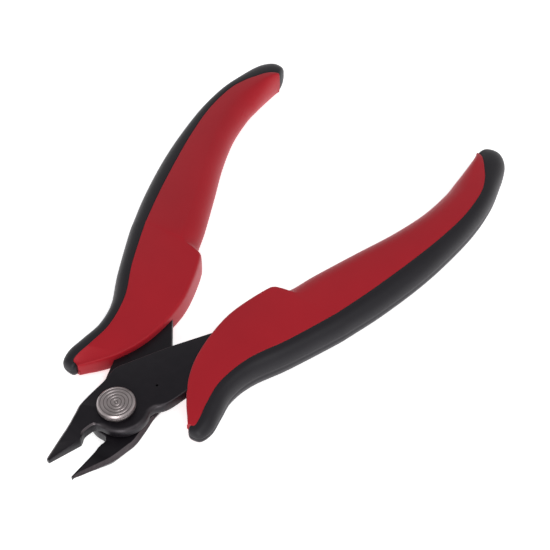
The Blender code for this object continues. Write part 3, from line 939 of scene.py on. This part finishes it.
def pocket_mesh(side):
    """The space the tang fills inside the core."""
    outer, palm = tang()
    neck_outer = outer[0] + (outer[0] - outer[1]).normalized() * NECK_OUTER_RUN
    neck_palm = palm[0] + (palm[0] - palm[1]).normalized() * NECK_PALM_RUN
    loop = [neck_palm, *palm, *outer[::-1], neck_outer]
    count = len(loop)
    fitted = []
    for i, p in enumerate(loop):
        along = (loop[(i + 1) % count] - loop[i - 1]).normalized()
        fitted.append(p + Vector((-along.y, along.x)) * TANG_FIT)
    levels = (LAP_GAP / 2 - TANG_FIT, LAP_GAP / 2 + PLATE + TANG_FIT)
    return loft([[(p.x, p.y * side, z * side) for p in fitted] for z in levels])


for half, side in (("upper", 1), ("lower", -1)):
    core = finished(f"{half}_red_core", core_mesh(side), side, red_core)
    pocket = finished(f"{half}_tang_pocket", pocket_mesh(side), side, red_core)
    cut = core.modifiers.new("tang_pocket", "BOOLEAN")
    cut.operation = "DIFFERENCE"
    cut.object = pocket
    graph = bpy.context.evaluated_depsgraph_get()
    core.data = bpy.data.meshes.new_from_object(core.evaluated_get(graph), depsgraph=graph)
    core.modifiers.clear()
    bpy.data.objects.remove(pocket)
    core.data.shade_smooth()
    core.data.set_sharp_from_angle(angle=math.radians(35))
    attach(core, f"{half}_half")
    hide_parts(f"{half}_grip_core")

    cover = finished(f"{half}_black_cover", cover_mesh(side), side, black_cover, sharp_over=45)
    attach(cover, f"{half}_half")
    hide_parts(f"{half}_grip_cover")


# ---- Floor, light and camera ----
# The tool lies on a plain white sheet in a light tent: bright all round and paler lit from above.

FLOOR_SIZE = 3.0
FLOOR_DROP = 0.02  # keeps the sheet clear of the grips' flat undersides
white_sheet, tree, shader = new_material("white_sheet", Roughness=0.9)
shader.inputs["Base Color"].default_value = linear("#FBFBFB")
shader.inputs["Emission Color"].default_value = linear("#FFFFFF")
shader.inputs["Emission Strength"].default_value = 0.6
bpy.ops.mesh.primitive_plane_add(size=FLOOR_SIZE, location=(0, 0, -FLOOR_DROP * MM))
floor = bpy.context.object
floor.name = "floor_sheet"
floor.data.materials.append(white_sheet)

tent = bpy.data.worlds.new("light_tent")
bpy.context.scene.world = tent
tent.use_nodes = True
tree = tent.node_tree
direction = add(tree, "ShaderNodeTexCoord", {}).outputs["Generated"]
height = add(tree, "ShaderNodeSeparateXYZ", {"Vector": direction}).outputs["Z"]
falloff = add(
    tree,
    "ShaderNodeMapRange",
    {"Value": height, "From Min": 0.15, "From Max": 0.85, "To Min": 0.85, "To Max": 0.34},
)
tree.links.new(falloff.outputs["Result"], tree.nodes["Background"].inputs["Strength"])
tree.nodes["Background"].inputs["Color"].default_value = linear("#FFFFFF")


def soft_box(name, place, aim, size, watts):
    data = bpy.data.lights.new(name, "AREA")
    data.shape = "DISK"
    data.size = size
    data.energy = watts
    lamp = bpy.data.objects.new(name, data)
    bpy.context.scene.collection.objects.link(lamp)
    lamp.location = place
    lamp.rotation_euler = (Vector(aim) - Vector(place)).to_track_quat("-Z", "Y").to_euler()


soft_box("key_box", (0.7, 0.35, 0.36), (0, 0, 0), 0.5, 3.6)
soft_box("fill_box", (0.1, 0.4, 0.75), (0, 0, 0), 0.4, 1.6)

SENSOR_MM = 36
LENS_MM = 78.5
camera_data = bpy.data.cameras.new("camera")
camera_data.sensor_width = SENSOR_MM
camera_data.lens = LENS_MM
camera_data.clip_start = 0.01
camera = bpy.data.objects.new("camera", camera_data)
bpy.context.scene.collection.objects.link(camera)
LOOK_AT = Vector((0.35, 8.7, 8.0)) * MM
camera.location = Vector((154.05, 105.5, 211.8)) * MM
camera.rotation_euler = (LOOK_AT - camera.location).to_track_quat("-Z", "Y").to_euler()
bpy.context.scene.camera = camera
bpy.context.scene.view_settings.view_transform = "Standard"
